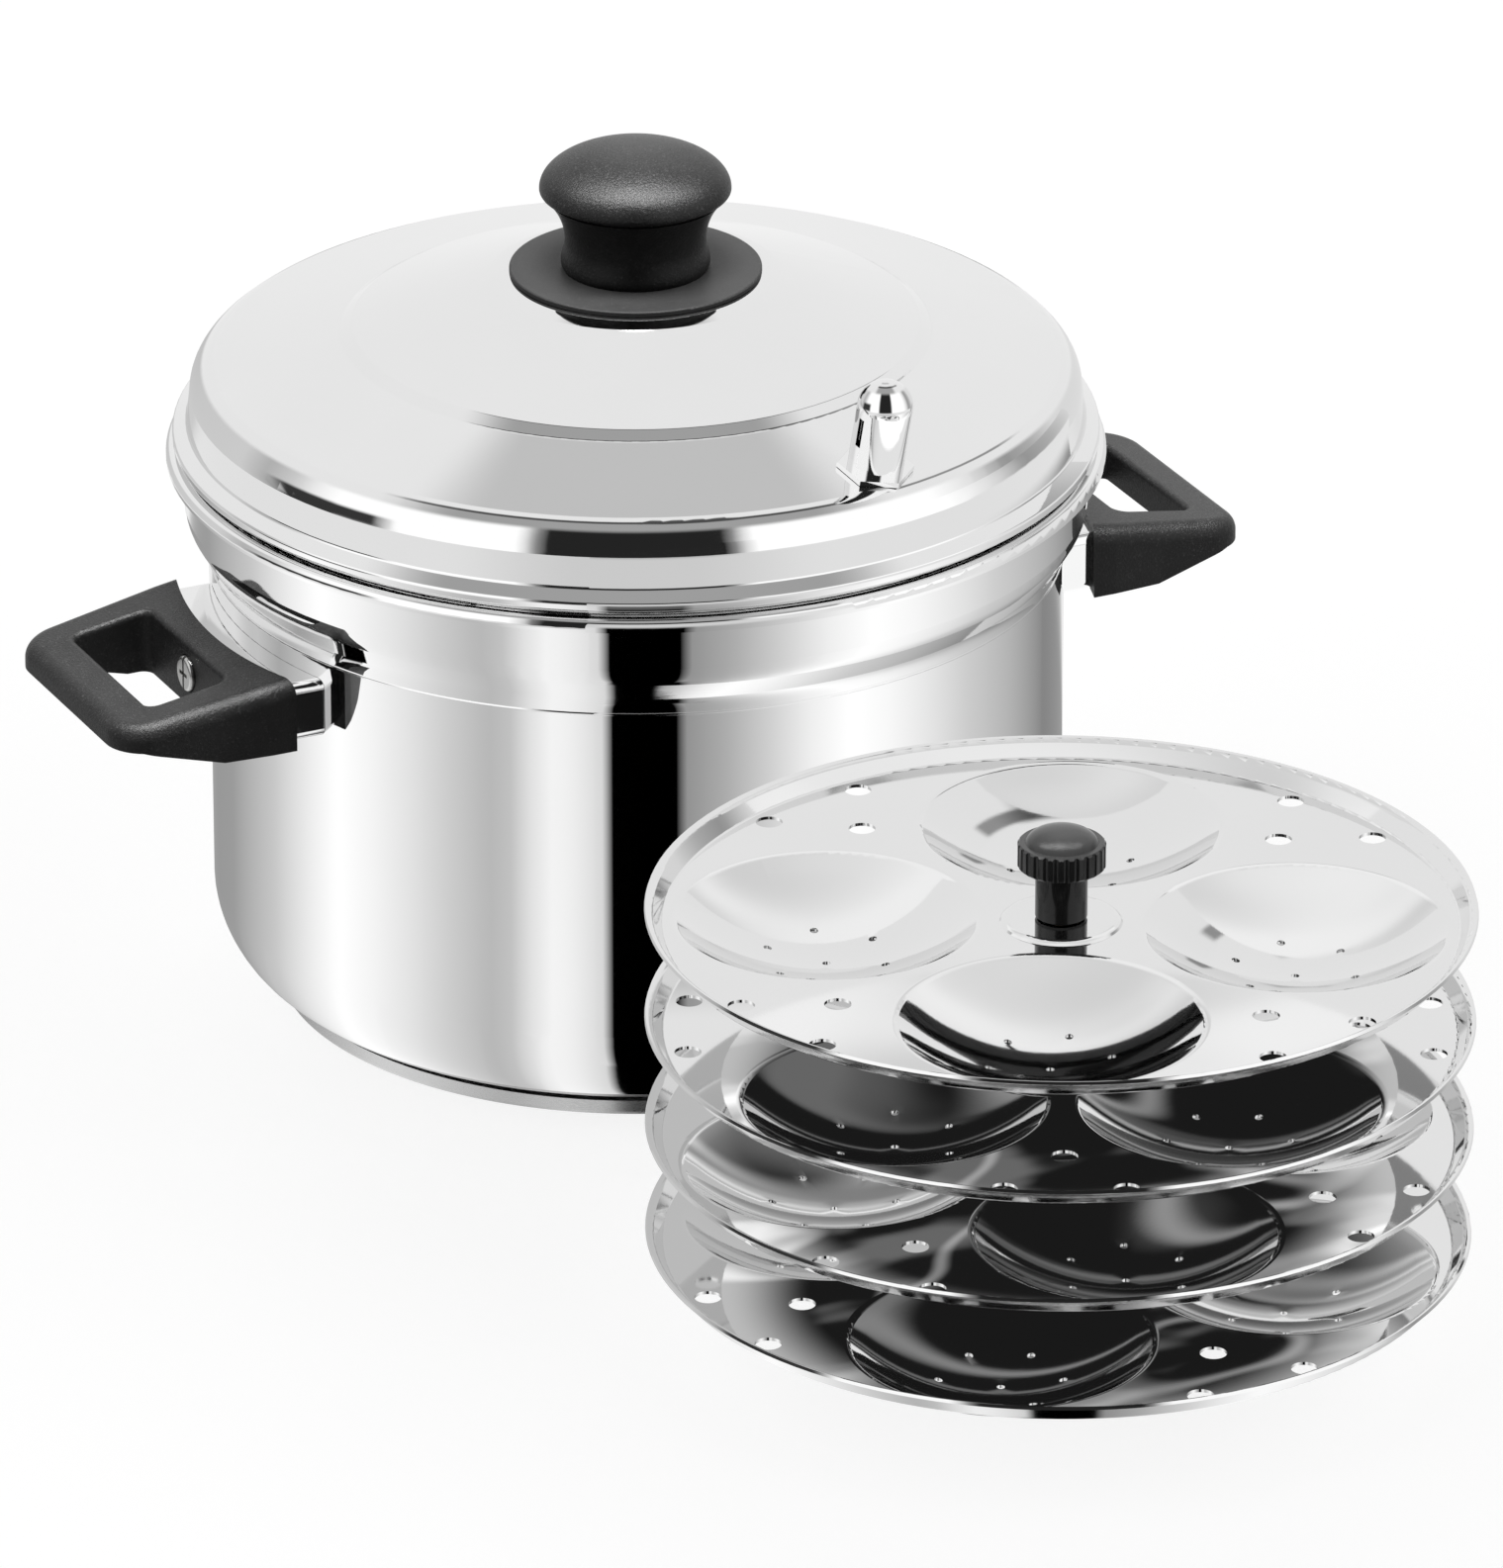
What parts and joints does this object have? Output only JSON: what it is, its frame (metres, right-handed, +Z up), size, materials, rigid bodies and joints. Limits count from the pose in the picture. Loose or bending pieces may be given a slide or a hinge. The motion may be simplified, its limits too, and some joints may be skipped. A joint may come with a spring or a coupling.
{
  "type": "idli steamer",
  "caption": "Stainless steaming pot with side handles, domed knobbed lid and steam vent, beside its lift-out rack of stacked dished mould plates on a centre rod.",
  "frame": {"origin": "centre of the pot base on the floor", "axes": "+Z up, +X from the pot axis to one side handle and -X to the other, -Y from the pot to the rack that stands in front of it"},
  "size_m": [0.316, 0.46, 0.2259],
  "materials": {
    "steel_mirror": "mirror-polished stainless steel",
    "steel_lid": "polished stainless steel lid",
    "steel_plate": "polished stainless steel plate",
    "steel_satin": "satin stainless steel",
    "plated_steel": "zinc-plated steel hardware",
    "aluminium_core": "plain aluminium, closed in",
    "phenolic": "satin black phenolic",
    "phenolic_gloss": "glossy black phenolic",
    "disc_black": "dark satin flange disc",
    "silicone": "grey silicone seal",
    "brass_insert": "turned brass insert"
  },
  "bodies": {
    "pot": {"pot_shell": "steel_mirror", "base_core": "aluminium_core", "base_cap": "steel_satin", "bracket_left": "steel_mirror", "bracket_right": "steel_mirror", "handle_left": "phenolic", "handle_right": "phenolic", "handle_screw_left": "plated_steel", "handle_screw_right": "plated_steel", "handle_nut_left": "plated_steel", "handle_nut_right": "plated_steel"},
    "lid": {"lid_shell": "steel_lid", "knob_disc": "disc_black", "knob_base": "phenolic", "knob_cap": "phenolic", "knob_insert": "brass_insert", "knob_washer": "plated_steel", "knob_screw": "plated_steel", "vent_body": "steel_mirror", "vent_seal": "silicone", "vent_nut": "plated_steel"},
    "rack": {"rack_rod": "plated_steel", "rack_spacer_1": "steel_satin", "rack_spacer_2": "steel_satin", "rack_spacer_3": "steel_satin", "rack_spacer_4": "steel_satin", "rack_foot": "steel_satin", "rack_foot_nut": "plated_steel"},
    "plate_1": {"rack_plate_1": "steel_plate"},
    "plate_2": {"rack_plate_2": "steel_plate"},
    "plate_3": {"rack_plate_3": "steel_plate"},
    "plate_4": {"rack_plate_4": "steel_plate"},
    "rack_knob": {"rack_knob": "phenolic_gloss", "rack_knob_insert": "brass_insert"}
  },
  "joints": [
    {"name": "lid_lift", "type": "slide", "parent": "pot", "child": "lid", "axis": [0, 0, 1], "range_m": [0, 0.15]},
    {"name": "rack_lift", "type": "slide", "parent": "pot", "child": "rack", "axis": [0, 0, 1], "range_m": [0, 0.2]},
    {"name": "plate_turn_1", "type": "hinge", "parent": "rack", "child": "plate_1", "pos_m": [0, -0.24, 0.1107], "axis": [0, 0, 1], "continuous": true},
    {"name": "plate_turn_2", "type": "hinge", "parent": "rack", "child": "plate_2", "pos_m": [0, -0.24, 0.0823], "axis": [0, 0, 1], "continuous": true},
    {"name": "plate_turn_3", "type": "hinge", "parent": "rack", "child": "plate_3", "pos_m": [0, -0.24, 0.0539], "axis": [0, 0, 1], "continuous": true},
    {"name": "plate_turn_4", "type": "hinge", "parent": "rack", "child": "plate_4", "pos_m": [0, -0.24, 0.0255], "axis": [0, 0, 1], "continuous": true},
    {"name": "rack_knob_turn", "type": "hinge", "parent": "rack", "child": "rack_knob", "pos_m": [0, -0.24, 0.125], "axis": [0, 0, 1], "continuous": true}
  ]
}
